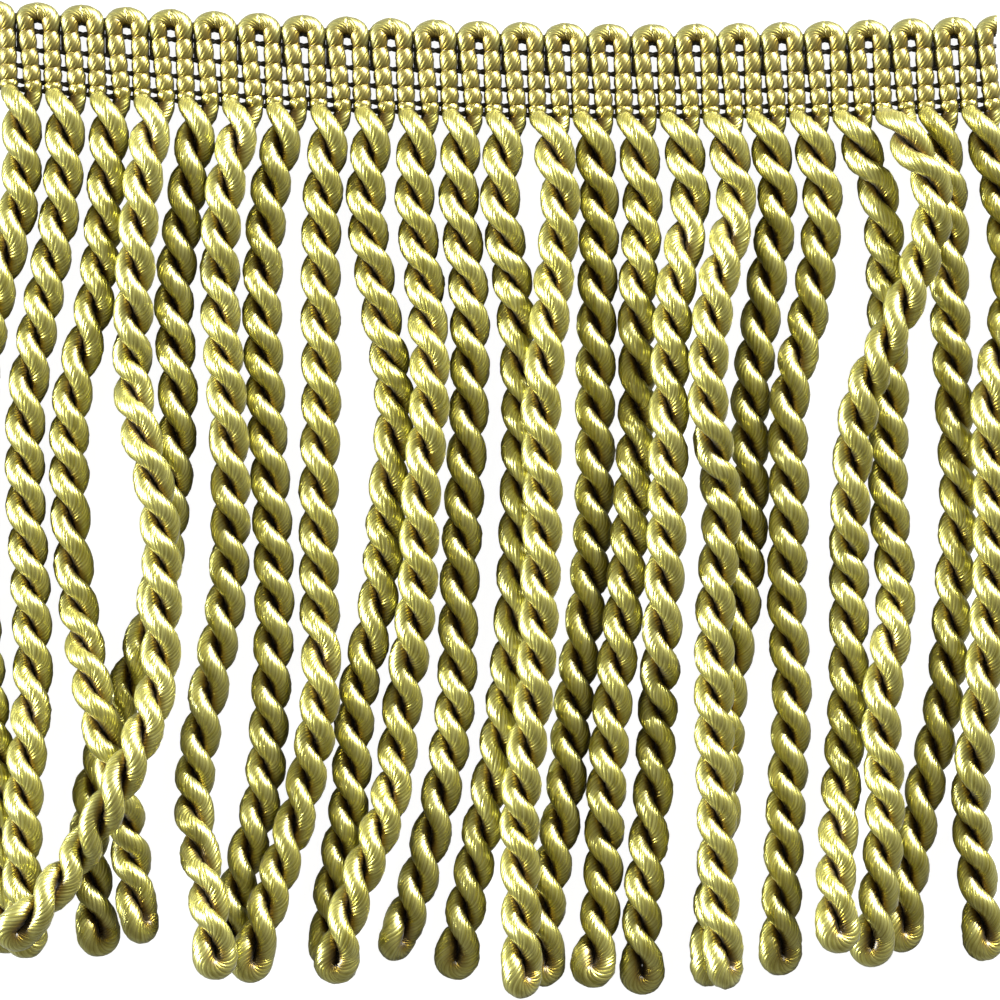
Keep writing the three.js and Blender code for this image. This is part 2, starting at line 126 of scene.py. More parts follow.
# Settling of the crossings. The blunter a strand's side, the sooner another one is lifted by it
LIFT_SLOPE = 0.5
EASE_STEPS = 3
CLEARANCE = 0.12
SETTLE_PASSES = 10
NEIGHBOURS = 4
TWIST_BLUNTNESS = 2.0
LOOP_BLUNTNESS = 4.0

# Cord's route through the strands and the heading, where shares run from the arches to the foot
ROUTE_STEP = 0.25
ROOT_EASE = 3.0
LOOP_STEPS = 30
ARCH_STEPS = 24
LEG_STEPS = 120
SURFACE_GAP = 0.03
SMOOTHING_STEPS = 4
SMOOTHING_PASSES = 2
LEG_SHARES = [0.2, 0.4, 0.9]
PINCH_SHARPNESS = 0.7
# How much shade is painted inside each arch, how soon it fades down the legs, and how much is
# painted in the crease under each row of thread
ARCH_SHADE = 0.5
ARCH_SHADE_FADE = 0.3
SEAM_SHADE = 0.8

# Cord's wrap, its uneven yarns, and the tone of each strand: random, with painted light that makes
# strands on higher layers lighter and painted shade that makes the heading darker
CORD_LEAD = 8.5
CORD_YARNS = 13.0
LUMP_YARNS = [4, 5, 7]
LUMP_SWELLS = (3, 6)
LUMP_HEIGHT = 0.03
TONE_SEED = 100
TONE_SPREAD = 0.1
# Painted light: strands on higher layers are made lighter
TONE_AND_LIGHT_BY_LAYER = [0.6, 0.62, 0.64, 0.66]
# The heading is darker, a painted shade, and also duller in colour and rougher, over a depth in
# millimetres
HEADING_SHADE_AND_DULL = 0.5
HEADING_SHADE_DEPTH = 2.0

# Sewing: rows of two crossing threads, the first across the arches, and one in the notches
ARCH_THREAD = 0.205
THREAD_LEAD = 1.6
THREAD_STRANDS = 2.0
THREAD_SIDES = 6
THREAD_POINTS = 1300
THREAD_END = 0.02
STITCH_TURNS = 2
ROW_DRIFT = 0.7
CUSP_SHARES = [0.15, 0.545]
CUSP_LEAN_SHARE = 0.3
CUSP_STEPS = 12
CUSP_SPREAD = 0.3
CUSP_STEP = 0.3
CUSP_REST = 0.7

# Wrapped yarn effect: how far noise shifts the yarns, and how fine its streaks and fibres are
YARN_GROUP = "Wrapped Yarn"
YARN_SHIFT = 6.0
SHIFT_SCALE = 1.6
SCREW_STRETCH = 0.05
RIDGE_POWER = 0.6
STREAK_NOISE = {"scale": 3.2, "detail": 3.0, "roughness": 0.6}
FIBRE_SCALE = 22.0

# Finishes. A range holds the lowest and highest value read, and what each of them becomes
STREAK_TONE_SHARE = 0.4
STREAK_RANGE = (0.5, 1.0, 0.0, 1.0)
# The heading's duller colour, darker with painted shade
HEADING_SHADE_RANGE = (0.15, 0.5, 0.7, 0.0)
# Painted shade in the valleys between the yarns
VALLEY_SHADE_RANGE = (0.0, 0.6, 0.55, 0.0)
# Painted shade from one number, warm at first and then deep, where plies nestle, inside arches and
# under rows of thread
WARM_SHADE_RANGE = (-0.25, 0.4, 0.0, 1.0)
DEEP_SHADE_RANGE = (0.32, 0.66, 0.0, 1.0)
DULL_RANGE = (0.15, 0.5, 0.12, 0.0)
ROUGH_RANGE = (0.3, 0.7, 0.29, 0.37)
FIBRE_HEIGHT = 0.15
CORD_BUMP = {"Strength": 1.0, "Distance": 0.00006}
CORD_FINISH = {
    "Metallic": 0.85,
    "Specular IOR Level": 0.8,
    "Coat Weight": 0.5,
    "Coat Roughness": 0.36,
    "Coat IOR": 1.7,
    "Sheen Weight": 0.1,
    "Sheen Roughness": 0.4,
}
THREAD_BUMP = {"Strength": 0.6, "Distance": 0.0001}
THREAD_FINISH = {"Roughness": 0.7}
FLOOR_FINISH = {
    "Roughness": 0.9,
    "Specular IOR Level": 0.0,
    "Emission Color": (1.0, 1.0, 1.0, 1.0),
}
FLOOR_GLOW = 0.97

# Stage: the floor's half width in metres and its drop in millimetres. Each soft box has its name,
# its place from the middle of the trim and its size in metres, its power in watts and its colour
FLOOR_REACH = 1.5
FLOOR_DROP = 0.1
LIGHT_BOXES = [
    ("right_box", (0.95, 1.34, 0.6), (0.8, 0.5), 130.0, (0.95, 0.975, 1.0)),
    ("left_box", (-1.35, 0.2, 0.42), (0.8, 0.2), 66.0, (0.9, 0.96, 1.0)),
]
WORLD_COLOUR = (1.0, 0.96, 0.84, 1.0)
WORLD_STRENGTH = 0.27

# Photograph's frame: where its middle falls on the trim, and how wide it is
VIEW_X = 0.0
VIEW_Y = -66.3
VIEW_WIDTH = 156.0
LENS = 250.0
SENSOR = 36.0
SIGHT_LENGTH = 10.0

# Layout of the nodes in their editor
NODE_STEP = 180
NODE_DROP = 60
NODE_ROWS = 4


def mix(a, b, share):
    return a + (b - a) * share


def eased(share):
    """A share from 0 to 1 that leaves and arrives gently."""
    return share * share * (3 - 2 * share)


def unit(vectors):
    return vectors / np.linalg.norm(vectors, axis=1, keepdims=True)


def lengths_along(points):
    """The length of a line from its first point to each one."""
    gaps = np.linalg.norm(np.diff(points, axis=0), axis=1)
    return np.concatenate([[0.0], np.cumsum(gaps)])


def trim_x(place):
    """x of a place along the trim, counted in arches from the middle of the first one."""
    drift = np.sin(np.pi * place / (ARCH_COUNT - 1))
    return FIRST_ARCH_X + PITCH * place + MIDDLE_DRIFT * drift


def bow(edge, x):
    """y of one of the heading's two bowed edges."""
    return edge["level"] + edge["rise"] * (np.abs(x - BOW_X) / BOW_SPAN) ** edge["power"]


def heading_y(x, share):
    """y in the heading: share 0 is the tops of its arches and 1 its foot."""
    return mix(bow(TOP_BOW, x), bow(FOOT_BOW, x), share)


def leg_x(arch, side, down):
    """x of a leg's middle: side 1 is an arch's right leg and -1 its left one."""
    lean = RIGHT_LEG_LEAN if side > 0 else LEFT_LEG_LEAN
    return trim_x(arch + (side * LEG_REACH + lean * down) / PITCH)


class Sway:
    """A strand's middle line in plan, from the heading's foot to its tip, at even steps."""

    def __init__(self, index, row, step):
        self.knots = self.find_knots(index, row)
        y = np.linspace(self.knots[0][1], self.knots[-1][1], SWAY_SAMPLES)
        x = self.x_at(y)
        along = np.concatenate([[0.0], np.cumsum(np.hypot(np.diff(x), np.diff(y)))])
        count = int(round(along[-1] / step))
        self.length = along[-1]
        self.along = np.linspace(0.0, self.length, count + 1)
        self.x = np.interp(self.along, along, x)
        self.y = np.interp(self.along, along, y)

    @staticmethod
    def find_knots(index, row):
        """The x and y that the line passes through, each with its slope there."""
        root_x = (leg_x(index, 1, 1.0) + leg_x(index + 1, -1, 1.0)) / 2
        levels = [(row[level], FIRST_LEVEL - LEVEL_STEP * step)
                  for step, level in enumerate(LEVELS)]
        places = [(root_x, heading_y(root_x, 1.0)), *levels, (row["tip_x"], row["tip_y"])]
        knots = [(*places[0], 0.0)]
        for before, here, after in zip(places, places[1:], [*places[2:], places[-1]]):
            knots.append((*here, (after[0] - before[0]) / (after[1] - before[1])))
        return knots

    def x_at(self, y):
        x0, y0, slope0 = (np.array(column) for column in zip(*self.knots))
        after = np.clip(np.searchsorted(-y0, -y), 1, len(y0) - 1)
        span = y0[after] - y0[after - 1]
        t = (y - y0[after - 1]) / span
        bend = slope0[after - 1] * t * (1 - t) ** 2 + slope0[after] * t * t * (t - 1)
        return mix(x0[after - 1], x0[after], eased(t)) + span * bend


class Strand:
    """One strand: where it lies, how it is twisted and how high its middle line is."""

    def __init__(self, index, row, sizes):
        self.index = index
        self.row = row
        self.ply = sizes.ply_radius
        self.full = sizes.full_radius
        self.loop = sizes.loop_radius
        self.plan = Sway(index, row, SAMPLE_STEP)
        self.length = self.plan.length
        self.twisted = self.length - END_LOOP_LENGTH
        turn = row["turn"] / 180
        self.half_turns = round(self.twisted / sizes.half_turn - turn) + turn
        chance = random.Random(index + 1)
        self.waves = [(chance.uniform(*WAVE_LENGTHS), chance.uniform(*PHASES))
                      for _ in range(WAVE_COUNT)]
        self.reach = self.spread_at(self.plan.along) + self.ply_at(self.plan.along)
        looped = self.plan.along > self.twisted
        self.depth = np.where(looped, self.half_height(self.plan.along), self.reach)
        self.z = self.depth.copy()

    def unevenness(self, along):
        """A slow wave from -1 to 1 that is still at both ends of the twisted length."""
        waves = sum(np.sin(2 * np.pi * along / length + phase) for length, phase in self.waves)
        fade = np.clip(np.minimum(along, self.twisted - along) / WAVE_FADE, 0, 1)
        return waves / WAVE_COUNT * fade

    def ply_at(self, along):
        """Radius of the cord, which is fuller where it isn't twisted tight."""
        t = np.clip((along - self.twisted + SWELL_LEAD) / SWELL_LENGTH, 0, 1)
        return mix(self.ply, self.full, eased(t))

    def spread_at(self, along):
        """How far each ply's middle is from the strand's, which opens into the end loop."""
        start = self.length - self.full - self.loop - LOOP_OPENING_LENGTH
        ease = eased(np.clip((along - start) / LOOP_OPENING_LENGTH, 0, 1))
        opened = np.maximum(mix(self.ply, self.loop, ease), self.ply_at(along))
        return opened * mix(PRESSED, LOOP_PRESSED, ease)

    def turn_at(self, along):
        """The plies cross quickly and stay at the sides for longer."""
        share = np.minimum(along, self.twisted) / self.twisted
        turn = np.pi * (1 - self.half_turns * share) + TURN_WAVE * self.unevenness(along)
        return turn - CROSSING_SPEED * np.sin(2 * turn)

    def half_height(self, along):
        return self.spread_at(along) * np.abs(np.sin(self.turn_at(along))) + self.ply_at(along)

    def height_at(self, along):
        """The plies leave the heading side by side, so the middle line starts low."""
        settled = np.interp(along, self.plan.along, self.z)
        done = along / self.twisted * self.half_turns
        lift = (settled - 2 * self.ply) * 2 * done
        return np.where(done < 0.5, self.half_height(along) + lift, settled)


def lies_over(upper, lower, y):
    """True at each y where the first strand passes over the second."""
    layers = upper.row["layer"] - lower.row["layer"]
    over = layers > 0 or (layers == 0 and upper.index > lower.index)
    result = np.full(len(y), over)
    for first, second, top, bottom in SWAPS:
        if {first, second} == {upper.index, lower.index}:
            result = np.where((-y >= top) & (-y <= bottom), first == upper.index, result)
    return result


def rises(upper, lower):
    """The rise that each sample of the upper strand needs over each one of the lower strand."""
    a, b = upper.plan, lower.plan
    apart = np.hypot(a.x[:, None] - b.x[None, :], a.y[:, None] - b.y[None, :])
    side = upper.reach[:, None] + lower.reach[None, :] + CLEARANCE
    stacked = upper.depth[:, None] + lower.depth[None, :] + CLEARANCE
    looped = (a.along > upper.twisted)[:, None] | (b.along > lower.twisted)[None, :]
    blunt = np.where(looped, LOOP_BLUNTNESS, TWIST_BLUNTNESS)
    inside = np.clip(1 - (apart / side) ** blunt, 0, 1)
    meets = (apart < side) & lies_over(upper, lower, a.y)[:, None]
    return np.where(meets, stacked * inside ** (1 / blunt), -np.inf)


def windows(values, reach):
    """Each value with its neighbours, up to a reach away on both sides."""
    padded = np.pad(values, reach, mode="edge")
    return np.lib.stride_tricks.sliding_window_view(padded, 2 * reach + 1)


def ease_heights(needed):
    """Heights that are nowhere below the needed ones, with gentle slopes and no sharp bends."""
    widened = windows(needed, EASE_STEPS).max(axis=1)
    fall = LIFT_SLOPE * SAMPLE_STEP * np.arange(len(widened))
    widened = np.maximum.accumulate(widened + fall) - fall
    widened = (np.maximum.accumulate(widened[::-1] + fall) - fall)[::-1]
    return windows(widened, EASE_STEPS).mean(axis=1)


def settle(strands):
    """Lifts the strands over one another where they cross."""
    contacts = []
    for upper in strands:
        near = [s for s in strands if 0 < abs(s.index - upper.index) <= NEIGHBOURS]
        contacts += [(upper, lower, rises(upper, lower)) for lower in near]
    for _ in range(SETTLE_PASSES):
        needed = {strand.index: strand.depth.copy() for strand in strands}
        for upper, lower, rise in contacts:
            highest = (rise + lower.z[None, :]).max(axis=1)
            needed[upper.index] = np.maximum(needed[upper.index], highest)
        for strand in strands:
            strand.z = ease_heights(needed[strand.index])


class Route:
    """Middle line of the cord, with its radius and the way towards where shade is painted on it: the
    ply beside it, the inside of an arch, or the crease under a row of thread.
    """

    def __init__(self, points, radii, shade_toward=None):
        self.points = np.asarray(points, float)
        self.radii = np.asarray(radii, float)
        self.shade_toward = np.zeros_like(self.points) if shade_toward is None else shade_toward

    def reversed(self):
        return Route(self.points[::-1], self.radii[::-1], self.shade_toward[::-1])

    @staticmethod
    def joined(routes):
        points, radii, shade_toward = [routes[0].points], [routes[0].radii], [routes[0].shade_toward]
        for route in routes[1:]:
            points.append(route.points[1:])
            radii.append(route.radii[1:])
            shade_toward.append(route.shade_toward[1:])
        return Route(np.concatenate(points), np.concatenate(radii), np.concatenate(shade_toward))

    def even(self, step):
        """The same route with its points at even steps."""
        along = lengths_along(self.points)
        places = np.linspace(0.0, along[-1], int(round(along[-1] / step)) + 1)
        columns = np.column_stack([self.points, self.radii, self.shade_toward])
        resampled = np.column_stack([np.interp(places, along, column) for column in columns.T])
        return Route(resampled[:, :3], resampled[:, 3], resampled[:, 4:])


def smoothed(values, reach):
    """A moving average that keeps both ends where they are."""
    result = values.copy()
    for _ in range(SMOOTHING_PASSES):
        for place in range(values.shape[1]):
            column = result[:, place]
            averages = windows(column, reach).mean(axis=1)
            edge = np.minimum(np.arange(len(column)), np.arange(len(column))[::-1])
            result[:, place] = np.where(edge < reach, column, averages)
    return result


def leg_route(arch, side, sizes):
    """From the top of an arch over to one side and down that leg to the heading's foot."""
    angle = np.linspace(np.pi / 2, 0, ARCH_STEPS)
    x = trim_x(arch + side * LEG_REACH * np.cos(angle) / PITCH)
    depth = heading_y(x, 0.0) - heading_y(x, SPRING_SHARE)
    y = heading_y(x, SPRING_SHARE) + (depth - sizes.heading_radius) * np.sin(angle)
    arch_points = np.column_stack([x, y, np.full(ARCH_STEPS, sizes.arch_radius + SURFACE_GAP)])
    share = np.linspace(SPRING_SHARE, 1.0, LEG_STEPS)[1:]
    down = (share - SPRING_SHARE) / (1 - SPRING_SHARE)
    leg = leg_x(arch, side, down)
    bulge = leg_bulge(share)
    fullest = [sizes.arch_radius, sizes.heading_radius, sizes.foot_radius]
    plump = np.interp(share, LEG_SHARES, fullest)
    leg_radii = mix(sizes.pinch_radius, plump, bulge)
    z = leg_radii + SURFACE_GAP + sizes.bead_rise * bulge
    leg_points = np.column_stack([leg, heading_y(leg, share), z])
    radii = np.concatenate([np.full(ARCH_STEPS, sizes.arch_radius), leg_radii])
    # Painted shade falls towards these directions: inside the arch, fading down the leg, and in the
    # crease under each row of thread
    arch_shade_toward = -np.column_stack([side * np.cos(angle), np.sin(angle), np.zeros(ARCH_STEPS)])
    leg_fade = np.clip(1 - down / ARCH_SHADE_FADE, 0, 1) * ARCH_SHADE
    seam = SEAM_SHADE * (1 - bulge) ** 2
    leg_shade_toward = np.column_stack([-side * leg_fade, -seam / 2, seam])
    points = np.concatenate([arch_points, leg_points])
    return Route(points, radii, np.concatenate([arch_shade_toward * ARCH_SHADE, leg_shade_toward]))


def leg_bulge(share):
    """A leg is plump between its rows of thread, at 1, and drawn in under each of them, at 0."""
    rows = np.array([2 * SPRING_SHARE - THREAD_ROWS[0], *THREAD_ROWS])
    after = np.clip(np.searchsorted(rows, share), 1, len(rows) - 1)
    place = np.clip((share - rows[after - 1]) / (rows[after] - rows[after - 1]), 0, 1)
    return np.sin(np.pi * place) ** PINCH_SHARPNESS


def strand_line(strand, along):
    """Points of the strand's middle line, and its forward, side and up directions."""
    x = np.interp(along, strand.plan.along, strand.plan.x)
    y = np.interp(along, strand.plan.along, strand.plan.y)
    points = smoothed(np.column_stack([x, y, strand.height_at(along)]), SMOOTHING_STEPS)
    forward = unit(np.gradient(points, axis=0))
    side = unit(np.column_stack([-forward[:, 1], forward[:, 0], np.zeros(len(along))]))
    return points, forward, side, np.cross(forward, side)


def ply_routes(strand, sizes):
    """Down one ply of the strand, round its end loop and up the other ply."""
    turn_back = strand.length - strand.full - strand.loop
    along = np.linspace(0.0, turn_back, int(turn_back / ROUTE_STEP))
    points, forward, side, up = strand_line(strand, along)
    turn = strand.turn_at(along)[:, None]
    across = side * np.cos(turn) + up * np.sin(turn)
    root_gap = (leg_x(strand.index + 1, -1, 1.0) - leg_x(strand.index, 1, 1.0)) / 2
    ease = np.clip(along / ROOT_EASE, 0, 1)
    spread = mix(root_gap, strand.spread_at(along), eased(ease))[:, None]
    radii = mix(sizes.pinch_radius, strand.ply_at(along), np.sqrt(ease))
    # Each ply gets painted shade on its side towards the other ply, and the end loop gets it on its
    # inside
    first = Route(points + across * spread, radii, -across)
    second = Route(points - across * spread, radii, across)
    bend = np.linspace(0, np.pi, LOOP_STEPS)[:, None]
    outward = np.cos(bend) * across[-1] + np.sin(bend) * forward[-1]
    loop = points[-1] + spread[-1] * outward
    return first, Route(loop, np.full(LOOP_STEPS, radii[-1]), -outward), second.reversed()


def cord_route(strand, sizes):
    """The whole cord of one strand, from the top of one arch to the top of the next."""
    first, loop, second = ply_routes(strand, sizes)
    down = leg_route(strand.index, 1, sizes)
    up = leg_route(strand.index + 1, -1, sizes).reversed()
    route = Route.joined([down, first, loop, second, up]).even(ROUTE_STEP)
    points = smoothed(route.points, SMOOTHING_STEPS // 2)
    return Route(points, route.radii, route.shade_toward).even(sizes.ring_step)


def carried_frames(points):
    """Two directions across a line that starts and ends along X, with the first one up there."""
    tangents = unit(np.gradient(points, axis=0))
    tangents[[0, -1]] = (1.0, 0.0, 0.0)
    normals = np.empty_like(tangents)
    normal = np.array([0.0, 0.0, 1.0])
    for place, tangent in enumerate(tangents):
        normal = normal - tangent * normal.dot(tangent)
        normal /= np.linalg.norm(normal)
        normals[place] = normal
    binormals = np.cross(tangents, normals)
    left_over = math.atan2(binormals[-1][2], normals[-1][2])
    turn = left_over * np.linspace(0, 1, len(points))[:, None]
    return (normals * np.cos(turn) + binormals * np.sin(turn),
            binormals * np.cos(turn) - normals * np.sin(turn))


def lumps(along, sides, lead, seed):
    """Uneven yarns: they stand proud or sink along the same screw as the wrap, in radii."""
    chance = random.Random(seed)
    turns = np.arange(sides)[None, :] / sides - along[:, None] / lead
    height = np.zeros_like(turns)
    for yarns in LUMP_YARNS:
        swell = np.sin(along / chance.uniform(*LUMP_SWELLS) + chance.uniform(*PHASES))[:, None]
        height += (1 + swell) / 2 * np.sin(2 * np.pi * yarns * turns + chance.uniform(*PHASES))
    return 1 + LUMP_HEIGHT * height


def tube_mesh(name, route, sides, lead, seed=None):
    """A closed tube, flat where it would pass through the surface that it lies on.

    Its wrap map holds turns round the tube, and whole leads along it in millimetres.
    """
    normals, binormals = carried_frames(route.points)
    angle = 2 * np.pi * np.arange(sides) / sides
    out = (normals[:, None, :] * np.cos(angle)[None, :, None]
           + binormals[:, None, :] * np.sin(angle)[None, :, None])
    along = lengths_along(route.points)
    along *= round(along[-1] / lead) * lead / along[-1]
    radii = route.radii[:, None]
    if seed is not None:
        radii = radii * lumps(along, sides, lead, seed)
    vertices = route.points[:, None, :] + out * radii[:, :, None]
    vertices[:, :, 2] = np.maximum(vertices[:, :, 2], 0.0)
    rings = len(route.points)
    ring, side = np.meshgrid(np.arange(rings - 1), np.arange(sides), indexing="ij")
    after = (side + 1) % sides
    quads = np.stack([ring * sides + side, ring * sides + after,
                      (ring + 1) * sides + after, (ring + 1) * sides + side], axis=-1)
    faces = quads.reshape(-1, 4).tolist()
    faces.append(list(range(sides))[::-1])
    faces.append([(rings - 1) * sides + place for place in range(sides)])
    mesh = bpy.data.meshes.new(name)
    mesh.from_pydata((vertices.reshape(-1, 3) * MM).tolist(), [], faces)
    write_wrap_map(mesh, ring, side, along, sides)
    # How far each point faces the way its painted shade comes from. The cord's material turns this
    # into darker colour
    write_shade(mesh, "painted_shade", (out * route.shade_toward[:, None, :]).sum(axis=2))
    mesh.shade_smooth()
    mesh.validate()
    return mesh


def write_shade(mesh, name, values):
    """Keeps one number for each vertex, which the cord's material reads."""
    attribute = mesh.attributes.new(name, "FLOAT", "POINT")
    attribute.data.foreach_set("value", values.ravel().astype(np.float32))


def write_wrap_map(mesh, ring, side, along, sides):
    """Turns round the tube and length along it, at each corner of its sides and then of its ends."""
    turns = np.stack([side, side + 1, side + 1, side], axis=-1) / sides
    lengths = np.stack([along[ring], along[ring], along[ring + 1], along[ring + 1]], axis=-1)
    places = np.stack([turns, lengths], axis=-1).reshape(-1, 2)
    caps = np.zeros((2 * sides, 2))
    caps[sides:, 1] = along[-1]
    layer = mesh.uv_layers.new(name="Wrap")
    layer.uv.foreach_set("vector", np.concatenate([places, caps]).astype(np.float32).ravel())


def write_tone(mesh, strand):
    """No two strands are quite alike at random. Painted light makes those on higher layers lighter,
    and painted shade makes the heading darker; the heading is also duller in colour and rougher.
    """
    chance = random.Random(TONE_SEED + strand.index)
    # Painted light: higher layers get a lighter tone
    tone_and_painted_light = TONE_AND_LIGHT_BY_LAYER[strand.row["layer"]] + chance.uniform(-TONE_SPREAD, TONE_SPREAD)
    places = np.empty(3 * len(mesh.vertices), np.float32)
    mesh.vertices.foreach_get("co", places)
    x, y = places[0::3] / MM, places[1::3] / MM
    # Painted shade: the heading's tone is lowered, which also makes it duller and rougher
    dull = np.clip((y - heading_y(x, 1.0)) / HEADING_SHADE_DEPTH, 0, 1) * HEADING_SHADE_AND_DULL
    write_shade(mesh, "tone_and_painted_light", tone_and_painted_light - dull)


def make_piece(name, mesh, material, nodes):
    piece = bpy.data.objects.new(name, mesh)
    bpy.context.scene.collection.objects.link(piece)
    piece.data.materials.append(material)
    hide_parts(*nodes)
    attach(piece, BODY)


class NodeBoard:
    """Short ways to place and join nodes in a material or a node group."""

    def __init__(self, tree):
        self.tree = tree
        self.column = 0

    def add(self, kind, **settings):
        node = self.tree.nodes.new(kind)
        self.column += 1
        node.location = (NODE_STEP * self.column, -NODE_DROP * (self.column % NODE_ROWS))
        for name, value in settings.items():
            setattr(node, name, value)
        return node

    def join(self, source, target):
        self.tree.links.new(source, target)

    def feed(self, socket, value):
        if isinstance(value, bpy.types.NodeSocket):
            self.join(value, socket)
        else:
            socket.default_value = value

    def math(self, operation, *values):
        node = self.add("ShaderNodeMath", operation=operation)
        for socket, value in zip(node.inputs, values):
            self.feed(socket, value)
        return node.outputs[0]

    def combine(self, x, y, z):
        node = self.add("ShaderNodeCombineXYZ")
        for socket, value in zip(node.inputs, (x, y, z)):
            self.feed(socket, value)
        return node.outputs[0]

    def noise(self, vector, scale, detail=2.0, roughness=0.5):
        node = self.add("ShaderNodeTexNoise")
        self.join(vector, node.inputs["Vector"])
        node.inputs["Scale"].default_value = scale
        node.inputs["Detail"].default_value = detail
        node.inputs["Roughness"].default_value = roughness
        return node.outputs["Fac"]

    def blend(self, share, a, b):
        node = self.add("ShaderNodeMix", data_type="RGBA")
        self.feed(node.inputs["Factor"], share)
        self.feed(node.inputs["A"], a)
        self.feed(node.inputs["B"], b)
        return node.outputs["Result"]

    def range(self, value, low, high, to_low, to_high):
        node = self.add("ShaderNodeMapRange", clamp=True)
        self.join(value, node.inputs["Value"])
        for socket, number in zip(node.inputs[1:5], (low, high, to_low, to_high)):
            self.feed(socket, number)
        return node.outputs["Result"]

    def yarn(self, yarns, lead):
        """The wrapped yarn effect, laid on a tube by its wrap map."""
        wrap = self.add("ShaderNodeUVMap", uv_map="Wrap")
        node = self.add("ShaderNodeGroup", node_tree=wrapped_yarn_group())
        self.join(wrap.outputs["UV"], node.inputs["Wrap Map"])
        set_inputs(node, {"Yarns": yarns, "Lead": lead})
        return node

    def bump(self, height, settings):
        node = self.add("ShaderNodeBump")
        set_inputs(node, settings)
        self.join(height, node.inputs["Height"])
        return node.outputs["Normal"]


def set_inputs(node, values):
    for name, value in values.items():
        node.inputs[name].default_value = value


def new_material(name):
    """A new material, the board for its nodes, and its shader."""
    material = bpy.data.materials.new(name)
    material.use_nodes = True
    return material, NodeBoard(material.node_tree), material.node_tree.nodes["Principled BSDF"]


def new_group(name, inputs, outputs):
    """An empty node group with named sockets, and the board that fills it."""
    tree = bpy.data.node_groups.new(name, "ShaderNodeTree")
    for label, kind, default in inputs:
        socket = tree.interface.new_socket(name=label, in_out="INPUT", socket_type=kind)
        if default is not None:
            socket.default_value = default
    for label, kind in outputs:
        tree.interface.new_socket(name=label, in_out="OUTPUT", socket_type=kind)
    board = NodeBoard(tree)
    return tree, board, board.add("NodeGroupInput"), board.add("NodeGroupOutput")


def wrapped_yarn_group():
    """Yarns laid side by side in a steep screw round a core: their ridges and their streaks.

    It is built once, for both the cord and the thread.
    """
    built = bpy.data.node_groups.get(YARN_GROUP)
    if built is not None:
        return built
    inputs = [
        ("Wrap Map", "NodeSocketVector", None),
        ("Yarns", "NodeSocketFloat", CORD_YARNS),
        ("Lead", "NodeSocketFloat", CORD_LEAD),
    ]
    outputs = [
        ("Ridge", "NodeSocketFloat"),
        ("Streak", "NodeSocketFloat"),
        ("Fibre", "NodeSocketFloat"),
    ]
    tree, board, start, end = new_group(YARN_GROUP, inputs, outputs)
    split = board.add("ShaderNodeSeparateXYZ")
    board.join(start.outputs["Wrap Map"], split.inputs[0])
    laid = board.math("DIVIDE", split.outputs["Y"], start.outputs["Lead"])
    turns = board.math("SUBTRACT", split.outputs["X"], laid)
    angle = board.math("MULTIPLY", turns, 2 * math.pi)
    laid_yarns = board.math("MULTIPLY", angle, start.outputs["Yarns"])
    cosine = board.math("COSINE", angle)
    sine = board.math("SINE", angle)
    along = board.math("MULTIPLY", split.outputs["Y"], SCREW_STRETCH)
    screw = board.combine(cosine, sine, along)
    across = board.math("MULTIPLY_ADD", board.noise(screw, SHIFT_SCALE), YARN_SHIFT, laid_yarns)
    wave = board.math("MULTIPLY_ADD", board.math("COSINE", across), 0.5, 0.5)
    ridge = board.math("POWER", wave, RIDGE_POWER)
    board.join(ridge, end.inputs["Ridge"])
    board.join(board.noise(screw, **STREAK_NOISE), end.inputs["Streak"])
    board.join(board.noise(screw, FIBRE_SCALE), end.inputs["Fibre"])
    return tree


def cord_material(colours):
    """Satin yarn wrapped round a core. Shade is painted in the valleys between its yarns, where two
    plies nestle, inside the arches, under the rows of thread and over the heading, and painted light
    makes strands on higher layers lighter.
    """
    material, board, shader = new_material("Wrapped gimp cord")
    yarn = board.yarn(CORD_YARNS, CORD_LEAD)
    # The first attribute says where shade is painted: where plies nestle, inside an arch, under a
    # row of thread. The second holds each strand's random tone, with painted light on higher layers
    # and painted shade on the heading
    painted_shade = board.add("ShaderNodeAttribute", attribute_name="painted_shade").outputs["Fac"]
    tone_and_painted_light = board.add("ShaderNodeAttribute", attribute_name="tone_and_painted_light").outputs["Fac"]
    # A higher tone gives more light yarn, so painted light makes higher strands lighter
    streak = board.math("MULTIPLY_ADD", tone_and_painted_light, STREAK_TONE_SHARE, yarn.outputs["Streak"])
    streak = board.range(streak, *STREAK_RANGE)
    face = board.blend(streak, colours.cord_dark, colours.cord_light)
    # The heading's duller colour, partly painted shade
    face = board.blend(board.range(tone_and_painted_light, *HEADING_SHADE_RANGE), face, colours.cord_heading_shade)
    # Painted shade in the valleys between the yarns
    valley_shade = board.range(yarn.outputs["Ridge"], *VALLEY_SHADE_RANGE)
    face = board.blend(valley_shade, face, colours.cord_groove_shade)
    # Painted shade where two plies nestle, inside the arches and under the rows of thread: first a
    # warm shade, then a deep one
    face = board.blend(board.range(painted_shade, *WARM_SHADE_RANGE), face, colours.cord_groove_shade)
    face = board.blend(board.range(painted_shade, *DEEP_SHADE_RANGE), face, colours.cord_deep_shade)
    board.join(face, shader.inputs["Base Color"])
    dull = board.range(tone_and_painted_light, *DULL_RANGE)
    rough = board.range(yarn.outputs["Fibre"], *ROUGH_RANGE)
    board.join(board.math("ADD", rough, dull), shader.inputs["Roughness"])
    height = board.math("MULTIPLY_ADD", yarn.outputs["Fibre"], FIBRE_HEIGHT, yarn.outputs["Ridge"])
    board.join(board.bump(height, CORD_BUMP), shader.inputs["Normal"])
    set_inputs(shader, CORD_FINISH)
    return material


